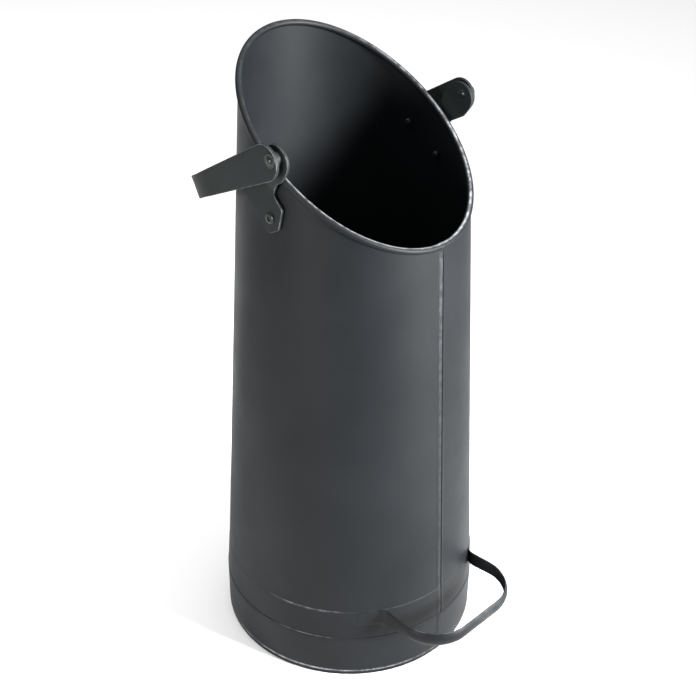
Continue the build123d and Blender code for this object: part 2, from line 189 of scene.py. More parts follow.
def coatedSteel(name, look):
    # satin powder coat: fine orange peel, faint mottling of tone and gloss, and bright bare steel
    # where the mesh's per-point wear-and-highlight value is set: rubbed edges and painted highlights
    material = bpy.data.materials.new(name)
    material.use_nodes = True
    nodes, links = material.node_tree.nodes, material.node_tree.links
    shader = nodes["Principled BSDF"]
    shader.inputs["Specular IOR Level"].default_value = look["specular"]
    where = nodes.new("ShaderNodeTexCoord").outputs["Object"]

    def noise(scale, detail, roughness=0.55, stretch=None):
        tex = nodes.new("ShaderNodeTexNoise")
        tex.inputs["Scale"].default_value = scale
        tex.inputs["Detail"].default_value = detail
        tex.inputs["Roughness"].default_value = roughness
        if stretch:
            mapping = nodes.new("ShaderNodeMapping")
            mapping.inputs["Scale"].default_value = stretch
            links.new(where, mapping.inputs["Vector"])
            links.new(mapping.outputs["Vector"], tex.inputs["Vector"])
        else:
            links.new(where, tex.inputs["Vector"])
        return tex.outputs["Fac"]

    def ranged(value, low, high, outLow, outHigh):
        ranger = nodes.new("ShaderNodeMapRange")
        ends = {"From Min": low, "From Max": high, "To Min": outLow, "To Max": outHigh}
        for key, number in ends.items():
            ranger.inputs[key].default_value = number
        links.new(value, ranger.inputs["Value"])
        return ranger.outputs["Result"]

    def mixed(factor, first, second):
        mix = nodes.new("ShaderNodeMix")
        mix.data_type = "RGBA"
        links.new(factor, mix.inputs["Factor"])
        for key, colour in ((6, first), (7, second)):
            if hasattr(colour, "is_linked"):
                links.new(colour, mix.inputs[key])
            else:
                mix.inputs[key].default_value = (*colour, 1)
        return mix.outputs[2]

    def product(first, second):
        times = nodes.new("ShaderNodeMath")
        times.operation = "MULTIPLY"
        links.new(first, times.inputs[0])
        links.new(second, times.inputs[1])
        return times.outputs[0]

    def bump(height, strength, distance):
        bumpNode = nodes.new("ShaderNodeBump")
        bumpNode.inputs["Strength"].default_value = strength
        bumpNode.inputs["Distance"].default_value = distance
        links.new(height, bumpNode.inputs["Height"])
        return bumpNode

    clouds = ranged(noise(grain["cloudScale"], 3), grain["cloudFrom"], grain["cloudTo"], 0, 1)
    tone = mixed(clouds, look["dark"], look["light"])
    specks = noise(grain["speckScale"], 2, 0.7)
    specks = ranged(specks, grain["speckFrom"], grain["speckTo"], 0, grain["speckle"])
    speckled = mixed(specks, tone, look["fleck"])
    # the per-point value of rubbed edges and painted highlights, mixed towards bright metallic steel
    wearAndHighlight = nodes.new("ShaderNodeAttribute")
    wearAndHighlight.attribute_name = "wearAndHighlight"
    patches = noise(grain["brightScale"], 4)
    patches = ranged(patches, grain["brightFrom"], grain["brightTo"], grain["brightLow"], grain["brightHigh"])
    highlightAndWear = product(wearAndHighlight.outputs["Fac"], patches)
    links.new(mixed(highlightAndWear, speckled, look["bareAndHighlight"]), shader.inputs["Base Color"])
    if "metallic" in look:
        shader.inputs["Metallic"].default_value = look["metallic"]
    else:
        links.new(highlightAndWear, shader.inputs["Metallic"])
    gloss = ranged(noise(grain["glossScale"], 4), grain["glossFrom"], grain["glossTo"], *look["gloss"])
    polish = ranged(wearAndHighlight.outputs["Fac"], 0, 1, 1, grain["brightPolish"])
    links.new(product(gloss, polish), shader.inputs["Roughness"])

    peel = bump(noise(grain["peelScale"], 2, 0.5), grain["peel"], grain["peelDepth"])
    waves = noise(grain["waveScale"], 1, 0.4, look.get("waveStretch"))
    wave = bump(waves, look["wave"], grain["waveDepth"])
    links.new(peel.outputs["Normal"], wave.inputs["Normal"])
    links.new(wave.outputs["Normal"], shader.inputs["Normal"])
    return material


# the bare colour is for rubbed steel and for painted highlights
shellLook = {
    "dark": (0.0038, 0.0048, 0.0058), "light": (0.006, 0.0071, 0.0083), "fleck": (0.018, 0.02, 0.023),
    "bareAndHighlight": (0.54, 0.56, 0.59), "gloss": (0.47, 0.55), "specular": 0.14,
    "wave": 0.3, "waveStretch": (1, 1, 0.3),
}
fittingLook = {
    "dark": (0.0072, 0.0098, 0.0096), "light": (0.01, 0.0128, 0.0122), "fleck": (0.022, 0.026, 0.026),
    "bareAndHighlight": (0.42, 0.44, 0.45), "gloss": (0.54, 0.62), "specular": 0.15, "wave": 0.12,
}
rivetLook = {
    "dark": (0.009, 0.011, 0.011), "light": (0.014, 0.016, 0.016), "fleck": (0.04, 0.042, 0.042),
    "bareAndHighlight": (0.42, 0.43, 0.44), "gloss": (0.22, 0.32), "specular": 0.3, "wave": 0.1,
}
wireLook = {
    "dark": (0.35, 0.35, 0.35), "light": (0.42, 0.42, 0.42), "fleck": (0.5, 0.5, 0.5),
    "bareAndHighlight": (0.5, 0.5, 0.5), "gloss": (0.3, 0.4), "specular": 0.5, "wave": 0.3, "metallic": 1.0,
}
shellCoat = coatedSteel("shellCoat", shellLook)
fittingCoat = coatedSteel("fittingCoat", fittingLook)
rivetCoat = coatedSteel("rivetCoat", rivetLook)
wireSteel = coatedSteel("wireSteel", wireLook)
print("materials made")

# the source's own pieces that stay as they are get a finish
plainPieces = {"base_pan": shellCoat, "rim_wire": wireSteel,
               "pivot_spacer_left": fittingCoat, "pivot_spacer_right": fittingCoat}
for nodeName, finish in plainPieces.items():
    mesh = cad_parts[nodeName].data
    mesh.materials.clear()
    mesh.materials.append(finish)

# body

shell = {
    "sheet": 1.0, "skirtLow": 5.0, "footTop": 46.0, "swellHeight": 31.0, "swellLow": 121.25,
    "skirtRadius": 120.4, "wallLowRadius": 118.9, "mouthHeight": 494.7, "mouthRadius": 95.4,
    "mouthTilt": np.radians(36.0), "beadRadius": 2.7,
    "stepOut": 0.4, "stepRun": 2.0,                          # the small step where the wall meets the swell
    "edgeIn": 0.3, "edgeHeight": 0.6,                        # the swell's rounded low edge
    "seamHalf": 2.75, "seamRise": 0.45, "seamSoft": 2.2,     # the lock seam: width, height, softness
    "seamTuck": 0.8, "seamLip": 0.2, "seamOnSwell": 0.8,
    "crackDepth": 0.8, "crackOpens": (1.95, 1.35), "crackCloses": (1.15, 0.4),   # in from its right edge
    "notchDepth": 0.9, "notchReach": 1.3, "notchRise": 1,    # the seam's dents at the step and the band
    "lapRise": 0.3, "lapEdge": (2.2, 3.0),                   # the curl's overlap where it crosses the seam
    "lapDent": 0.45, "dentFrom": (2.2, 2.45), "dentTo": (2.65, 3.0),
    # waves of the sheet's unevenness: size, number round the body, climb for a radian, start
    "uneven": [(0.05, 2, np.inf, 0.7), (0.035, 5, 71.0, 1.1), (0.03, 3, -43.0, 0)],
    "unevenFrom": (90, 140),
    "highlightTurn": np.radians(106), "highlightSwing": np.radians(21),  # the painted highlight line along the curl
    "highlightWidth": np.radians(20), "highlightMean": 0.5, "highlightMore": 0.55, "highlightLeast": 0.03,
    "faintTurn": np.radians(165), "faintWidth": np.radians(35), "faintLess": 0.42,
    "patchTurn": np.radians(-155), "patchWidth": np.radians(14),     # the painted highlight stretch round the foot
    "patchLeast": 0.03, "patchMore": 0.3, "patchDrop": 0.9, "patchReach": 0.7,
    "stripPlace": -0.9, "stripHalf": 1.4, "stripSoft": 0.8,  # the painted highlight line up the seam
    "stripLow": 0.03, "stripMore": 0.06, "stripRise": (250, 430),
    "skirtRows": [20, 38, 45.9, 46, 46.15, 46.3, 46.6, 47, 47.6, 48.4, 50, 53, 56, 59, 62, 65, 68, 71,
                  73.5, 75, 75.5, 75.8, 76.1, 76.4, 76.7],
    "wallRows": 46, "beadRows": 34, "columns": 300,
    # distances from the middle of the seam that have a column, closest where its section is steep
    "leftColumns": [8, 5.5, 4.2, 3.6, 3.3, 3.0, 2.7, 2.4, 2.1, 1.8, 1.4, 0.8],
    "rightColumns": [0, 0.5, 0.8, 1.0, 1.2, 1.4, 1.6, 1.8, 2.0, 2.2, 2.4, 2.7, 3.1, 3.6, 4.2, 5, 6.5, 8],
}
swellTop = shell["footTop"] + shell["swellHeight"]
taper = (shell["wallLowRadius"] - shell["mouthRadius"]) / (shell["mouthHeight"] - swellTop)
mouthSlope = np.tan(shell["mouthTilt"])


def wallRadius(z):
    # outside of the tapered wall at height z
    return shell["mouthRadius"] + taper * (shell["mouthHeight"] - z)


def swellRadius(z):
    # below the wall's foot: a short step outwards, then a straight flare down to the band
    stepRadius = shell["wallLowRadius"] + shell["stepOut"]
    stepLow = swellTop - shell["stepRun"]
    flare = (shell["swellLow"] - stepRadius) / (stepLow - shell["footTop"])
    step = shell["wallLowRadius"] + shell["stepOut"] * smoothStep(swellTop - z, 0, shell["stepRun"])
    return np.where(z > stepLow, step, stepRadius + flare * (stepLow - z))


def skinRadius(z):
    # outside of the whole sheet at height z: the skirt inside the band, the swell with its rounded
    # low edge over the band, the wall
    low = shell["footTop"]
    edge = shell["edgeIn"] * (1 - smoothStep(z, low, low + shell["edgeHeight"]))
    above = np.where(z < swellTop, swellRadius(z) - edge, wallRadius(z))
    return np.where(z < low, shell["skirtRadius"], above)


def seamHeight(offset, z):
    # the seam's section: a soft rise on its left, a flat top, a crack, then the other sheet's fold
    half, soft = shell["seamHalf"], shell["seamSoft"]
    dent = np.exp(-((z - shell["footTop"] - shell["notchRise"]) / shell["notchReach"])**2)
    dent = dent + np.exp(-((z - swellTop) / shell["notchReach"])**2)
    up = smoothStep(offset, -half - soft, -half + soft - shell["seamTuck"])
    down = smoothStep(offset, half - shell["seamLip"], half - shell["seamLip"] + soft)
    opens = smoothStep(offset, *[half - reach for reach in shell["crackOpens"]])
    closes = smoothStep(offset, *[half - reach for reach in shell["crackCloses"]])
    crack = (shell["crackDepth"] + shell["notchDepth"] * dent) * (opens * (1 - closes))
    return shell["seamRise"] * up * (1 - down) - crack


# columns near the seam by their distance from it, the others by their share of the way round
near = np.array([-reach for reach in shell["leftColumns"]] + shell["rightColumns"])
far = np.linspace(0, 1, shell["columns"] + 2)[1:-1]
seamDistance = np.concatenate([near, np.full(len(far), 99.0)])      # far ones: out of the seam's reach


def columnAngles(radius):
    # angle of every column at a radius: fine columns keep their distance from the seam
    radius = np.atleast_1d(radius)[:, None]
    edgeAngle = near[-1] / radius
    nearAngle = -np.pi / 2 + near / radius
    farAngle = -np.pi / 2 + edgeAngle + far * (2 * np.pi - 2 * edgeAngle)
    return np.concatenate([nearAngle, farAngle], axis=1)


def wobble(angle, z):
    # the sheet's slight unevenness: a sum of sine waves round the body, none near the swell
    waves = 0
    for size, count, climb, start in shell["uneven"]:
        waves = waves + size * np.sin(count * angle + z / climb + start)
    return waves * smoothStep(z, *shell["unevenFrom"])


def paintedEdgeHighlight(angle):
    # painted highlight on an edge round the foot: a little all round, more on one short stretch
    patch = np.exp(-((angle - shell["patchTurn"]) / shell["patchWidth"])**4)
    return shell["patchLeast"] + shell["patchMore"] * patch


def paintedRimHighlight(angle, turn):
    # painted highlight along the curl: a bright line, brightest and furthest out on the low lip,
    # almost gone along the spout and fainter again beside it on the left
    place = shell["highlightTurn"] + shell["highlightSwing"] * np.sin(angle)
    faint = np.exp(-((np.remainder(angle, 2 * np.pi) - shell["faintTurn"]) / shell["faintWidth"])**2)
    strength = shell["highlightMean"] - shell["highlightMore"] * np.sin(angle) - shell["faintLess"] * faint
    strength = np.maximum(strength, shell["highlightLeast"])
    return strength * np.exp(-((turn - place) / shell["highlightWidth"])**2)


def rimFrame(angle):
    # the rim's line where the middle of the wall meets the mouth plane, with the directions
    # out of the wall and up along it, both square to the rim
    middle = shell["mouthRadius"] - shell["sheet"] / 2
    lean = taper * mouthSlope
    bottom = 1 + lean * np.sin(angle)
    r = middle / bottom
    dr = -middle * lean * np.cos(angle) / bottom**2
    height = shell["mouthHeight"] + mouthSlope * r * np.sin(angle)
    centre = np.stack([r * np.cos(angle), r * np.sin(angle), height], -1)
    dy = dr * np.sin(angle) + r * np.cos(angle)
    along = np.stack([dr * np.cos(angle) - r * np.sin(angle), dy, mouthSlope * dy], -1)
    along /= np.linalg.norm(along, axis=-1, keepdims=True)
    out = np.stack([np.cos(angle), np.sin(angle), np.full_like(angle, taper)], -1)
    out /= np.linalg.norm(out, axis=-1, keepdims=True)
    return centre, out, np.cross(out, along)


def bodyShell():
    # Rows run up the outside, round the curl and down the inside, columns run round the axis.
    # Outside: the radius at each angle and height, from the skirt up to the curl. Curl: a circle
    # square to the rim, longer where it laps. Inside: the same wall, one sheet further in.
    rimRadius = shell["mouthRadius"] / (1 - taper * mouthSlope)
    rimAngle = columnAngles(rimRadius)[0]
    centre, out, up = rimFrame(rimAngle)
    lap = shell["lapRise"] * (1 - smoothStep(np.abs(seamDistance), *shell["lapEdge"]))
    dent = shell["lapDent"] * smoothStep(seamDistance, *shell["dentFrom"])
    bead = shell["beadRadius"] + lap - dent * (1 - smoothStep(seamDistance, *shell["dentTo"]))
    start = np.arcsin(shell["sheet"] / 2 / shell["beadRadius"]) - np.pi / 2
    turn = np.linspace(start, np.pi - start, shell["beadRows"])
    curl = centre + bead[:, None] * (np.cos(turn)[:, None, None] * out + np.sin(turn)[:, None, None] * up)

    def wall(end, inset, raised):
        # from the swell's top up to the given end row, on the cone at this inset: the columns reach
        # the end row's angles late, and the unevenness fades late
        endAngle = np.arctan2(end[:, 1], end[:, 0])
        endAngle = rimAngle + (endAngle - rimAngle + np.pi) % (2 * np.pi) - np.pi
        share = np.linspace(0, 1, shell["wallRows"] + 1)[:-1, None]
        z = swellTop + (end[:, 2] - swellTop) * share
        base = columnAngles(wallRadius(swellTop))[0]
        angle = base + (rimAngle - base) * share + (endAngle - rimAngle) * share**3
        radius = wallRadius(z) - inset + wobble(angle, z) * (1 - share**6)
        radius = radius + seamHeight(seamDistance, z) * raised
        return np.stack([radius * np.cos(angle), radius * np.sin(angle), z], -1)

    def skirt(inset, raised):
        # the skirt and the swell, one row for each height, with the seam above the band alone
        z = np.array([shell["skirtLow"]] + shell["skirtRows"])[:, None]
        angle = columnAngles(skinRadius(z[:, 0]))
        seam = np.where(z > shell["footTop"], seamHeight(seamDistance, z) * raised, 0)
        radius = skinRadius(z) - inset + seam
        return np.stack([radius * np.cos(angle), radius * np.sin(angle), z + 0 * angle], -1)

    lowOutside = skirt(0, shell["seamOnSwell"])
    outside = np.concatenate([lowOutside, wall(curl[0], 0, 1)])
    inside = np.concatenate([skirt(shell["sheet"], 0), wall(curl[-1], shell["sheet"], 0)])[::-1]
    rows = np.concatenate([outside, curl, inside, outside[:1]])

    # painted highlights as bright bare steel: a stretch along the step, a line up the seam, a line along
    # the curl
    angle, z = np.arctan2(rows[..., 1], rows[..., 0]), rows[..., 2]
    wearAndHighlight = paintedEdgeHighlight(angle) * np.exp(-((z - swellTop + shell["patchDrop"]) / shell["patchReach"])**2)
    wearAndHighlight[len(lowOutside):] = 0
    fromStrip = np.abs(seamDistance - shell["stripPlace"])
    strip = 1 - smoothStep(fromStrip, shell["stripHalf"], shell["stripHalf"] + shell["stripSoft"])
    strip = strip * (shell["stripLow"] + shell["stripMore"] * smoothStep(z, *shell["stripRise"]))
    wearAndHighlight = np.maximum(wearAndHighlight, strip)
    first = len(outside)
    wearAndHighlight[first:first + len(curl)] = paintedRimHighlight(rimAngle, turn[:, None])
    wearAndHighlight[first + len(curl):] = 0
    return rows.reshape(-1, 3), gridFaces(len(rows), rows.shape[1]), wearAndHighlight.ravel()


points, faces, wearAndHighlight = bodyShell()
makePiece("bucketBody", points, faces, "bucket", shellCoat, ["body_shell"], wearAndHighlight)
print("body made")

# foot

foot = {
    "radius": 121.55, "sheet": 1.0, "top": 46.0, "bead": 2.0, "flat": 0.3,
    "lapHalf": 3.0, "lapRise": 0.5, "lapSoft": 0.5,          # where the band's ends overlap
    "topEdge": [(1.0, 0.1), (0.8, 0), (0.3, 0.03), (0.08, 0.2), (0, 0.5)],   # in from the face, and down
    "sideRows": [40, 20], "rollStart": 0.8,
    "rollFrom": 8, "rollTo": -226, "rollRows": 30,           # degrees round the rolled edge
    "highlightTurn": np.radians(205), "highlightWidth": np.radians(32),  # where the painted highlight on the rolled edge is brightest
    "brightTop": 5.9, "brightLow": 4.7, "brightFade": 0.5,            # heights of that line
    "highlightLeast": 0.12, "highlightMore": 0.5, "topHighlight": 0.7,
}


def footBand():
    # the band's section, top edge rounded and bottom edge rolled inwards round a circle, turned
    # about the axis, with a step where its ends lap on the seam's side
    r, t, b = foot["radius"], foot["sheet"], foot["bead"]
    level = b - foot["flat"]
    inside = (r - t, level + b)
    top = [(r - t * inward, foot["top"] - down) for inward, down in foot["topEdge"]]
    heights = foot["sideRows"] + [foot["brightTop"] + foot["brightFade"], foot["brightTop"], foot["brightLow"],
                                  foot["brightLow"] - foot["brightFade"], level + b * foot["rollStart"]]
    turn = np.radians(np.linspace(foot["rollFrom"], foot["rollTo"], foot["rollRows"]))
    roll = np.stack([r - b + b * np.cos(turn), np.maximum(level + b * np.sin(turn), 0)], -1)
    profile = np.concatenate([[inside], top, [(r, z) for z in heights], roll, [inside]])
    angle = columnAngles(r)[0]
    fromLap = np.abs(seamDistance)
    step = foot["lapRise"] * (1 - smoothStep(fromLap, foot["lapHalf"] - foot["lapSoft"], foot["lapHalf"]))
    outerFace = (profile[:, 0] > r - t * 0.8) & (profile[:, 1] > b)
    radius = profile[:, :1] + np.where(outerFace, 1.0, 0.0)[:, None] * step
    rows = np.stack([radius * np.cos(angle), radius * np.sin(angle),
                     np.broadcast_to(profile[:, 1:], radius.shape)], -1)

    # painted highlights as bright bare steel: a stretch on the top edge's outer corner, a line just above
    # the roll
    wearAndHighlight = np.zeros(radius.shape)
    wearAndHighlight[3:5] = foot["topHighlight"] * paintedEdgeHighlight(np.where(angle > np.pi, angle - 2 * np.pi, angle))
    fromHighlight = (np.remainder(angle, 2 * np.pi) - foot["highlightTurn"]) / foot["highlightWidth"]
    line = 1 + len(top) + heights.index(foot["brightTop"])
    wearAndHighlight[line:line + 2] = foot["highlightLeast"] + foot["highlightMore"] * np.exp(-fromHighlight**2)
    return rows.reshape(-1, 3), gridFaces(len(rows), radius.shape[1]), wearAndHighlight.ravel()


points, faces, wearAndHighlight = footBand()
makePiece("footBand", points, faces, "bucket", shellCoat, ["foot_band"], wearAndHighlight, 50)
print("foot made")

# ears

pivot = np.array([0, -25.2, 505.3])
rimWay = np.array([np.cos(shell["mouthTilt"]), np.sin(shell["mouthTilt"])])  # along the rim, in Y and Z
ear = {
    "sheet": 2.5, "seat": 0.05, "headX": 106.8, "headRadius": 13.7, "headDrop": 4.7, "edge": 0.4,
    "outline": [(14.0, 13.7), (25.0, 8.7), (37.0, 9.6), (40.5, 24.0), (56.5, 31.5), (66.5, 26.5)],
    "foot": (67.2, 0.0), "cornerRadii": [2.2, 4.0, 4.5, 1.8, 2.4, 2.4],
    "upperBend": 12.0, "lowerBend": 36.0, "upperSoft": 1.1, "lowerSoft": 0.88, "flattening": 80.0,
    "rivetSpread": 19.5, "rivetDrop": 55.5,
    "headRows": 14, "arcRows": 7, "sideRows": 90, "across": 18,
}


def earPoint(x, across, drop):
    # a point at a distance x from the middle, given by its place across and down the ear
    return np.stack([x, pivot[1] + across * rimWay[0] + drop * rimWay[1],
                     pivot[2] + across * rimWay[1] - drop * rimWay[0]], -1)


def bendCentre():
    # axis that the ear's base is bent round: flatter than the wall, touching it along its middle
    middle = earPoint(0.0, 0.0, (ear["lowerBend"] + ear["outline"][-1][0]) / 2)
    turn = np.arcsin(middle[1] / wallRadius(middle[2]))
    return -ear["flattening"] * np.array([np.cos(turn), np.sin(turn)])


def seatX(y, z, grow=0.0):
    # distance from the middle at which the base's bend, grown by a length, passes y and z
    centre = bendCentre()
    radius = wallRadius(z) + ear["flattening"] + ear["seat"] + grow
    return centre[0] + np.sqrt(radius**2 - (y - centre[1])**2)


def softMax(a, b, soft):
    # the larger of two numbers, with a rounded change from one to the other
    return (a + b + np.sqrt((a - b)**2 + soft**2)) / 2


def earSurface(drop, across):
    # outer face: the bent base, blended into a leaning neck and an upright head
    flat = earPoint(np.zeros_like(drop), across, drop)
    base = seatX(flat[..., 1], flat[..., 2], ear["sheet"])
    bend = earPoint(0.0, 0.0, ear["lowerBend"])
    rootX = seatX(bend[1], bend[2], ear["sheet"])
    lean = (ear["headX"] - rootX) / (ear["lowerBend"] - ear["upperBend"])
    leaning = rootX + (ear["lowerBend"] - drop) * lean
    strip = -softMax(-leaning, -np.full_like(drop, ear["headX"]), ear["upperSoft"])
    x = softMax(base, strip, ear["lowerSoft"])
    return earPoint(x, across, drop)


def earPlate():
    # outline: a round head, then straight runs with rounded corners down to the foot
    start = np.linspace(0, np.pi / 2, ear["headRows"])[:-1]
    radius = ear["headRadius"]
    head = np.stack([ear["headDrop"] - radius * np.cos(start), radius * np.sin(start)], -1)
    corners = [(ear["headDrop"], ear["headRadius"])] + ear["outline"] + [ear["foot"]]
    side = roundedPath(corners, ear["cornerRadii"], ear["arcRows"])
    dense = alongPath(side, np.linspace(0, pathLength(side), ear["sideRows"]))
    outline = np.concatenate([head, dense])
    return bentPlate(earSurface, outline[:, 0], outline[:, 1], ear["sheet"], ear["edge"], ear["across"])


points, faces, wearAndHighlight = earPlate()
makePiece("earRight", points, faces, "bucket", fittingCoat, ["ear_right"], wearAndHighlight, 40)
makePiece("earLeft", mirrored(points), faces, "bucket", fittingCoat, ["ear_left"], wearAndHighlight, 40)
print("ears made")

# rivets

blind = {
    "seat": 0.05, "shank": 2.4, "head": 4.8, "height": 1.7, "headEdge": 0.25, "domeFrom": 0.3,
    "well": 1.9, "wellDepth": 1.1, "lip": 0.35, "lipEdge": [(0.08, 0.12), (0, 0.3)],
    "stem": 1.1, "stemTop": [(1, 0.45), (0.8, 0.6), (0, 0.55)],      # share of its radius, height
    "bulb": 3.4, "bulbLength": 4.5, "bulbGap": 0.2, "bulbNeck": 0.45, "bulbFar": np.pi / 2.6,
    "rows": 8, "columns": 40,
}
pin = {
    "seat": 0.05, "shank": 2.5, "flange": 5.8, "flangeHeight": 0.9, "under": 0.2, "edge": 0.3,
    "dome": 3.6, "domeHeight": 1.6, "domeFoot": [(0.5, -0.12), (0.1, 0.02)],
    "tail": 4.4, "tailHeight": 1.6, "rows": 8, "columns": 48,
}
# the bail's pivot rivets reach out to its strip, so its sizes come before them
bail = {
    "thickness": 3.0, "outerX": 114.0, "reach": 150.0, "corner": 65.0, "endRadius": 14.6,
    "endOffset": 8.6, "bowHalf": 10.0, "taperReach": 100.0, "edge": 0.5, "restClearance": 0.4,
    "arcRows": 40, "tipRows": 12, "armRows": 110, "across": 8,
}


def capArc(radius, base, height, count):
    # points on a round cap from its edge to its top on the axis
    ball = (radius**2 + height**2) / (2 * height)
    turn = np.linspace(np.arctan2(radius, ball - height), 0, count)
    return [(ball * np.sin(t), base + height - ball * (1 - np.cos(t))) for t in turn]


def blindRivet(across):
    # from the axis outwards: the set end inside, the shank, then a domed head with an open middle
    # and the broken stem in it
    spot = earPoint(0.0, across, ear["rivetDrop"])
    origin = np.array([seatX(spot[1], spot[2]), spot[1], spot[2]])
    out = np.append(origin[:2] - bendCentre(), 0)
    out = out / np.linalg.norm(out) + (0, 0, taper)
    standoff = np.hypot(origin[0], origin[1]) - wallRadius(origin[2])
    seat, inside = ear["sheet"] + blind["seat"], -(standoff + shell["sheet"] + blind["bulbGap"])
    halfBulb, neck = blind["bulbLength"] / 2, blind["bulbNeck"]
    middle = inside - halfBulb
    bulge = np.linspace(-np.pi / 2, blind["bulbFar"], blind["rows"])
    profile = [(0, inside - blind["bulbLength"])]
    profile += [(blind["bulb"] * (neck + (1 - neck) * np.cos(t)), middle + halfBulb * np.sin(t))
                for t in bulge]
    profile += [(blind["shank"], inside), (blind["shank"], seat), (blind["head"] - blind["headEdge"], seat),
                (blind["head"], seat + blind["headEdge"])]
    top, domeSeat = seat + blind["height"], seat + blind["domeFrom"]
    rim = blind["well"] + blind["lip"]
    domeHeight = blind["height"] - blind["domeFrom"]
    rise = np.linspace(0, np.pi / 2, blind["rows"])
    profile += [(rim + (blind["head"] - rim) * np.cos(t), domeSeat + domeHeight * np.sin(t)) for t in rise]
    floor = top - blind["wellDepth"]
    profile += [(blind["well"] + wide, top - down) for wide, down in blind["lipEdge"]]
    profile += [(blind["well"], floor), (blind["stem"], floor)]
    profile += [(blind["stem"] * share, floor + high) for share, high in blind["stemTop"]]
    return turned(profile, origin, out, blind["columns"])


def pivotRivet():
    # a round tail behind the ear, the shank, then a flange with a domed middle outside the bail
    tailSeat = ear["headX"] - ear["sheet"] - pin["seat"]
    headSeat = bail["outerX"] + pin["seat"]
    top = headSeat + pin["flangeHeight"]
    tail = [(r, -h) for r, h in capArc(pin["tail"], -tailSeat, pin["tailHeight"], pin["rows"])][::-1]
    profile = tail + [(pin["shank"], tailSeat), (pin["shank"], headSeat),
                      (pin["flange"] - pin["under"], headSeat), (pin["flange"], headSeat + pin["under"]),
                      (pin["flange"], top - pin["edge"]), (pin["flange"] - pin["edge"], top)]
    profile += [(pin["dome"] + wide, top + high) for wide, high in pin["domeFoot"]]
    profile += capArc(pin["dome"], top, pin["domeHeight"], pin["rows"])
    return turned(profile, (0, pivot[1], pivot[2]), (1, 0, 0), pin["columns"])


pair = [blindRivet(-ear["rivetSpread"]), blindRivet(ear["rivetSpread"])]
points = np.concatenate([pair[0][0], pair[1][0]])
faces = np.concatenate([pair[0][1], pair[1][1] + len(pair[0][0])])
makePiece("earRivetsRight", points, faces, "bucket", rivetCoat,
          ["ear_rivets_right"])
makePiece("earRivetsLeft", mirrored(points), faces, "bucket", rivetCoat,
          ["ear_rivets_left"])
points, faces = pivotRivet()
makePiece("pivotRivetRight", points, faces, "bucket", rivetCoat,
          ["pivot_rivet_right"])
makePiece("pivotRivetLeft", mirrored(points), faces, "bucket", rivetCoat,
          ["pivot_rivet_left"])
print("rivets made")

# bail

def restSlope():
    # angle below level at which the bow lies on the high side of the wall
    reach = bail["reach"] - bail["thickness"]
    level, drop = reach - taper * bail["bowHalf"], bail["bowHalf"] + taper * reach
    stop = wallRadius(pivot[2]) - pivot[1] + bail["restClearance"]
    return np.arccos(stop / np.hypot(level, drop)) - np.arctan2(drop, level)


bail["slope"] = restSlope()


def bailPath():
    # the strip's outside line in plan, from one pivot end round the bow to the other
    x, y, back = bail["outerX"], bail["reach"], bail["endRadius"] - bail["endOffset"]
    corners = [(x, -back), (x, y), (-x, y), (-x, -back)]
    return roundedPath(corners, [bail["corner"]] * 2, bail["arcRows"])


def bailSurface(along, across):
    # the path's reach is laid down the rest slope from the pivots, and the strip stands across it
    path = bailPath()
    length = pathLength(path)
    flat = alongPath(path, np.clip(along, 0, length))
    extra = np.where(along < 0, along, np.where(along > length, length - along, 0))
    reach = flat[..., 1] + extra
    down, level = np.sin(bail["slope"]), np.cos(bail["slope"])
    return np.stack([flat[..., 0], pivot[1] + reach * level + across * down,
                     pivot[2] - reach * down + across * level], -1)


def bailStrip():
    # the outline: round ends, a straight taper along each arm and an even bow
    length = pathLength(bailPath())
    turn = np.linspace(0, np.pi / 2, bail["tipRows"])
    tip = np.stack([bail["endRadius"] * (1 - np.cos(turn)), bail["endRadius"] * np.sin(turn)], -1)
    arm = np.linspace(bail["endRadius"], length / 2, bail["armRows"])[1:]
    reach = arm - (bail["endRadius"] - bail["endOffset"])
    way = np.clip((reach - bail["endOffset"]) / (bail["taperReach"] - bail["endOffset"]), 0, 1)
    wide = bail["endRadius"] * (1 - way) + bail["bowHalf"] * way
    half = np.concatenate([tip, np.stack([arm, wide], -1)])
    whole = np.concatenate([half, np.stack([length - half[-2::-1, 0], half[-2::-1, 1]], -1)])
    return bentPlate(bailSurface, whole[:, 0], whole[:, 1], bail["thickness"], bail["edge"], bail["across"])


points, faces, wearAndHighlight = bailStrip()
makePiece("bailStrip", points, faces, "bail", fittingCoat, ["bail"], wearAndHighlight, 40)
print("bail made")

# tipping handle

grip = {
    "sheet": 1.4, "edge": 0.4, "padHeight": 16.0, "padTurn": np.radians(8.5), "padDrop": 0.5,
    "padOutside": 122.58, "padCorner": 4.0,
    "padLift": 0.45, "padFade": 0.42, "padBorder": 3.5,      # thin pads that fade out at their borders
    "height": 14.0, "crown": 2.2, "rootHalfWidth": 68.0, "halfWidth": 60.3, "endBow": 0.3,
    "standoff": 49.0, "corner": 39.5, "rootBend": 9.0, "rootShare": 0.6, "rise": 2.0,
    "blendStart": 0.06, "blendEnd": 0.34,                    # where the pads turn into the formed strip
    "weldRadius": 2.6, "weldDepth": 0.25, "weldSpread": 4.0,
    "edgeWearAndHighlight": 0.6, "handleHighlight": 0.05, "highlightPlace": 0.47, "highlightReach": 0.09,        # edges' rubbed steel and painted highlight, and a painted highlight along the grip
    "padRows": 10, "arcRows": 26, "endRows": 6, "cornerRows": 7, "rows": 130, "across": 18,
    "probe": 0.3,                                            # half step that finds the strip's direction
}
padLevel = swellTop - grip["padDrop"] - grip["padHeight"] / 2


def padRadius(z):
    # outside of the thin pads at height z: they lie on the swell
    return np.where(z < swellTop, swellRadius(z), wallRadius(z)) + grip["padLift"]


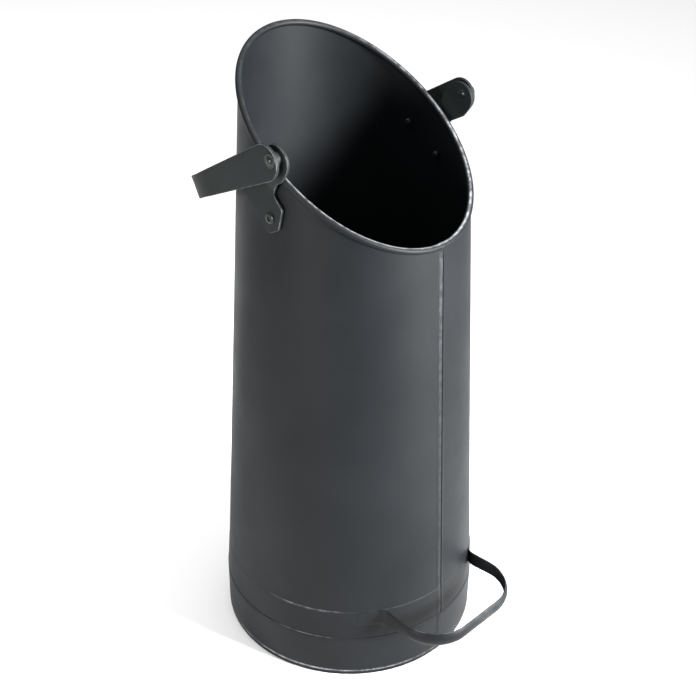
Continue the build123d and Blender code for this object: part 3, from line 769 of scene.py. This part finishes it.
def gripPath():
    # the handle's outside line in plan: round the swell, out of the wall, along the front and back
    radius = grip["padOutside"]
    leave = np.arcsin(grip["rootHalfWidth"] / radius)
    turn = np.linspace(leave + grip["padTurn"], leave, grip["padRows"])
    pad = np.stack([np.sin(turn), -np.cos(turn)], -1) * radius
    root = pad[-1] - np.array([np.cos(leave), np.sin(leave)]) * grip["rootBend"] * grip["rootShare"]
    reach = radius + grip["standoff"]
    corners = [pad[-1], root, (grip["halfWidth"], -reach), (0, -reach)]
    outer = roundedPath(corners, [grip["rootBend"], grip["corner"]], grip["arcRows"])
    right = np.concatenate([pad[:-1], outer])
    return np.concatenate([right, right[-2::-1] * (-1, 1)]), pathLength(pad), pathLength(right)


gripLine, padRun, halfRun = gripPath()


def fromNearEnd(along):
    # distance from the nearer of the handle's two ends
    return np.minimum(along, 2 * halfRun - along)


def gripBlend(along):
    # 0 on the pads, 1 once the section is fully formed
    share = (fromNearEnd(along) - padRun) / (halfRun - padRun)
    return smoothStep(share, grip["blendStart"], grip["blendEnd"])


def gripHalfHeight(along):
    # half the strip's height: the pads' at its ends, the formed section's between them
    return (grip["padHeight"] + (grip["height"] - grip["padHeight"]) * gripBlend(along)) / 2


def gripSurface(along, across):
    # the strip stands on edge: its pads follow the swell, its formed section bulges outwards
    blend = gripBlend(along)
    plan = alongPath(gripLine, np.clip(along, 0, 2 * halfRun))
    ahead = alongPath(gripLine, np.clip(along + grip["probe"], 0, 2 * halfRun))
    tangent = ahead - alongPath(gripLine, np.clip(along - grip["probe"], 0, 2 * halfRun))
    tangent /= np.linalg.norm(tangent, axis=-1, keepdims=True)
    outward = np.stack([-tangent[..., 1], tangent[..., 0]], -1)
    height = padLevel - across
    offset = (padRadius(height) - grip["padOutside"]) * (1 - blend)
    offset = offset - grip["crown"] * blend * (across / gripHalfHeight(along))**2
    end = fromNearEnd(along)
    border = np.minimum(end, gripHalfHeight(along) - np.abs(across))
    offset = offset - grip["padFade"] * (1 - blend)**2 * (1 - smoothStep(border, 0, grip["padBorder"]))
    for side in (1, -1):
        fromWeld = np.hypot(end - padRun / 2, across - side * grip["weldSpread"]) / grip["weldRadius"]
        offset = offset - grip["weldDepth"] * np.exp(-fromWeld**4)
    place = plan + outward * offset[..., None]
    return np.stack([place[..., 0], place[..., 1], height + grip["rise"] * blend], -1)


def gripStrip():
    # the outline: a square end with rounded corners, then the strip's changing height
    corner, half, bowed = grip["padCorner"], grip["padHeight"] / 2, grip["endBow"]
    turn = np.linspace(0, np.pi / 2, grip["cornerRows"])
    bow = np.linspace(0, 1, grip["endRows"])[:-1]
    end = np.stack([bowed * bow**2, (half - corner) * bow], -1)
    bend = np.stack([bowed + corner * (1 - np.cos(turn)), half - corner + corner * np.sin(turn)], -1)
    rest = np.linspace(bend[-1, 0], halfRun, grip["rows"])[1:]
    one = np.concatenate([end, bend, np.stack([rest, gripHalfHeight(rest)], -1)])
    whole = np.concatenate([one, np.stack([2 * halfRun - one[-2::-1, 0], one[-2::-1, 1]], -1)])
    thickness = grip["sheet"] - grip["padFade"] / 2
    points, faces, wearAndHighlight = bentPlate(gripSurface, whole[:, 0], whole[:, 1], thickness,
                                    grip["edge"], grip["across"])
    # a painted highlight along the grip, and the edges' rubbed steel and painted highlight where the strip
    # is formed
    place = whole[:, 0] / (2 * halfRun)
    highlightAndWear = grip["handleHighlight"] * np.exp(-((place - grip["highlightPlace"]) / grip["highlightReach"])**2)
    edges = wearAndHighlight.reshape(len(whole), -1) * grip["edgeWearAndHighlight"] * gripBlend(whole[:, 0])[:, None]
    return points, faces, np.maximum(edges, highlightAndWear[:, None]).ravel()


points, faces, wearAndHighlight = gripStrip()
makePiece("tippingHandle", points, faces, "bucket", shellCoat, ["tipping_handle"], wearAndHighlight, 40)
print("tipping handle made")

# stage, light and camera

stage = {
    "floorTone": 0.9, "floorRoughness": 0.9, "floorSpecular": 0.1, "floorSize": 40,
    "floorLevel": -0.0002, "worldStrength": 0.3,
}
floorMaterial = bpy.data.materials.new("paleFloor")
floorMaterial.use_nodes = True
floorShader = floorMaterial.node_tree.nodes["Principled BSDF"]
floorShader.inputs["Base Color"].default_value = (*[stage["floorTone"]] * 3, 1)
floorShader.inputs["Roughness"].default_value = stage["floorRoughness"]
floorShader.inputs["Specular IOR Level"].default_value = stage["floorSpecular"]
bpy.ops.mesh.primitive_plane_add(size=stage["floorSize"], location=(0, 0, stage["floorLevel"]))
floor = bpy.context.object
floor.name = "studioFloor"
floor.data.materials.append(floorMaterial)

world = bpy.data.worlds.new("studio")
world.use_nodes = True
sky = world.node_tree.nodes["Background"]
sky.inputs["Color"].default_value = (1, 1, 1, 1)
sky.inputs["Strength"].default_value = stage["worldStrength"]
bpy.context.scene.world = world
bpy.context.scene.view_settings.view_transform = "Standard"

# soft boxes: place and aim in metres, power in watts, spread in degrees
lamps = {
    "key": {"at": (0.66, -1.87, 0.84), "aim": (0, 0, 0.4), "size": (0.5, 1.05),
            "power": 24, "spread": 44},
    "left": {"at": (-2.1, -0.15, 0.45), "aim": (0, 0, 0.32), "size": (0.6, 0.7),
             "power": 3.8, "spread": 50},
    "top": {"at": (0.4, 1.0, 3.2), "aim": (0.6, 1.2, 0), "size": (4.4, 4.4),
            "power": 150, "spread": 180},
}
for lampName, lamp in lamps.items():
    data = bpy.data.lights.new(lampName, "AREA")
    data.shape = "RECTANGLE"
    data.size, data.size_y = lamp["size"]
    data.energy = lamp["power"]
    data.spread = np.radians(lamp["spread"])
    softBox = bpy.data.objects.new(lampName, data)
    softBox.location = lamp["at"]
    way = Vector(lamp["aim"]) - Vector(lamp["at"])
    softBox.rotation_euler = way.to_track_quat("-Z", "Y").to_euler()
    bpy.context.scene.collection.objects.link(softBox)

# the photograph's view: place in metres, angles in degrees, lens in millimetres
view = {
    "at": (-0.658569, -0.649076, 0.838291), "azimuth": -45.212, "elevation": 30.862,
    "roll": 0.557, "lens": 61.49, "sensor": 36, "clip": (0.01, 100),
}
azimuth, elevation, roll = (np.radians(view[key]) for key in ("azimuth", "elevation", "roll"))
level = np.cos(elevation)
back = np.array([np.sin(azimuth) * level, -np.cos(azimuth) * level, np.sin(elevation)])
right = np.array([np.cos(azimuth), np.sin(azimuth), 0])
up = np.cross(back, right)
rolledRight = right * np.cos(roll) + up * np.sin(roll)
rolledUp = -right * np.sin(roll) + up * np.cos(roll)
cameraData = bpy.data.cameras.new("photoView")
cameraData.lens, cameraData.sensor_width = view["lens"], view["sensor"]
cameraData.clip_start, cameraData.clip_end = view["clip"]
camera = bpy.data.objects.new("photoView", cameraData)
turnMatrix = Matrix(np.stack([rolledRight, rolledUp, back], -1).tolist())
camera.matrix_world = Matrix.Translation(view["at"]) @ turnMatrix.to_4x4()
bpy.context.scene.collection.objects.link(camera)
bpy.context.scene.camera = camera
print("light and camera set")
